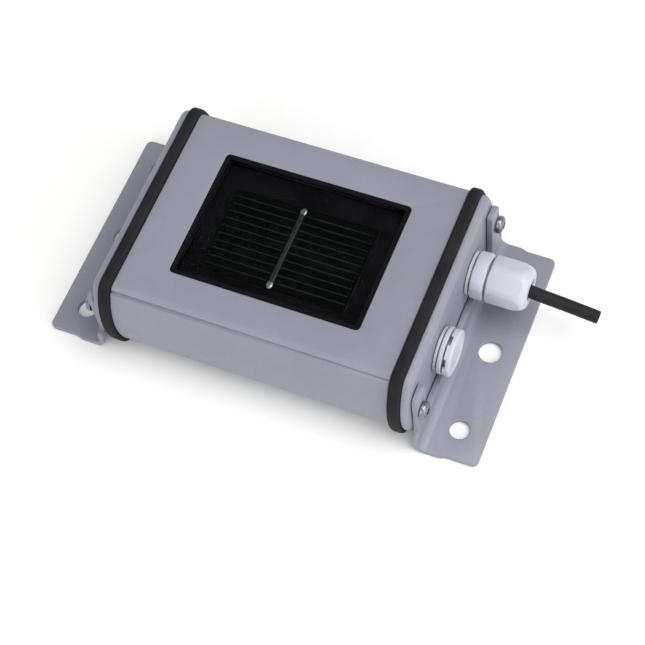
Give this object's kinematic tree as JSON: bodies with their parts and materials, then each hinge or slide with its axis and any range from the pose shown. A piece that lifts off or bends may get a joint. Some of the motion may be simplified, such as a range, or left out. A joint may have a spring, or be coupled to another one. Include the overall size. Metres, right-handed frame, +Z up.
{
  "type": "solar irradiance sensor",
  "caption": "Outdoor solar irradiance sensor: a small reference cell under glass in a grey aluminium housing with bent mounting brackets, a pressure vent and a gland with a cut black cable.",
  "frame": {"origin": "on the mounting plane, under the middle of the housing", "axes": "+X along the housing towards the cable gland, +Y to the back, +Z up towards the window"},
  "size_m": [0.1771, 0.085, 0.039],
  "materials": {
    "coated_aluminium": "light grey satin powder coat with a fine orange-peel texture",
    "gasket_rubber": "matt black moulded rubber",
    "steel": "turned stainless steel",
    "pale_nylon": "very light grey moulded nylon, satin",
    "seal_rubber": "pale grey silicone rubber, matt",
    "membrane": "white porous membrane",
    "cover_glass": "clear low-iron glass, polished",
    "silicon_cell": "textured silicon with fine silver contact fingers",
    "tinned_copper": "tinned copper",
    "black_sheet": "black laminated backing film",
    "tray_plastic": "black moulded plastic",
    "board": "green solder-masked glass-fibre board",
    "chip_black": "black moulded epoxy",
    "ceramic": "white ceramic",
    "capacitor_can": "bare aluminium can on a black base",
    "terminal_plastic": "green moulded plastic",
    "cable_jacket": "black polyurethane jacket, satin",
    "wire_red": "red wire insulation",
    "wire_black": "black wire insulation",
    "wire_orange": "orange wire insulation",
    "wire_brown": "brown wire insulation"
  },
  "bodies": {
    "root": {"housing": "coated_aluminium", "cable_side_gasket": "gasket_rubber", "cable_side_end_cap": "coated_aluminium", "cable_side_bracket": "coated_aluminium", "cable_side_front_screw": "steel", "cable_side_back_screw": "steel", "plain_side_gasket": "gasket_rubber", "plain_side_end_cap": "coated_aluminium", "plain_side_bracket": "coated_aluminium", "plain_side_front_screw": "steel", "plain_side_back_screw": "steel", "window_sealant": "gasket_rubber", "cover_glass": "cover_glass", "solar_cell": "silicon_cell", "front_ribbon": "tinned_copper", "rear_ribbon": "tinned_copper", "backsheet": "black_sheet", "laminate_tray": "tray_plastic", "cell_lead_positive": "wire_red", "cell_lead_negative": "wire_black", "temperature_sensor": "ceramic", "temperature_lead_a": "tinned_copper", "temperature_lead_b": "tinned_copper", "gland_body": "pale_nylon", "gland_flat_seal": "seal_rubber", "gland_lock_nut": "pale_nylon", "gland_rubber_seal": "seal_rubber", "vent_body": "pale_nylon", "vent_flat_seal": "seal_rubber", "vent_lock_nut": "pale_nylon", "vent_membrane": "membrane", "vent_cap": "pale_nylon", "circuit_board": "board", "amplifier_chip": "chip_black", "supply_regulator": "chip_black", "shunt_resistor": "tinned_copper", "buffer_capacitor": "capacitor_can", "surge_suppressor": "chip_black", "terminal_block": "terminal_plastic", "terminal_screw_1": "steel", "terminal_screw_2": "steel", "terminal_screw_3": "steel", "terminal_screw_4": "steel", "cable_entry": "cable_jacket", "cable_core_1": "wire_red", "cable_core_2": "wire_black", "cable_core_3": "wire_orange", "cable_core_4": "wire_brown", "signal_cable": "cable_jacket"},
    "clamping_insert": {"gland_clamping_insert": "pale_nylon"},
    "dome_nut": {"gland_dome_nut": "pale_nylon"}
  },
  "joints": [
    {"name": "clamping_insert_travel", "type": "slide", "parent": "root", "child": "clamping_insert", "axis": [1, 0, 0], "range_m": [0, 0.003]},
    {"name": "dome_nut_turn", "type": "hinge", "parent": "clamping_insert", "child": "dome_nut", "pos_m": [0.069, 0.017, 0.0195], "axis": [1, 0, 0], "range_deg": [0, 720]}
  ],
  "couplings": [
    {"joint": "clamping_insert_travel", "follows": "dome_nut_turn", "m_per_rad": 0.00023873}
  ]
}
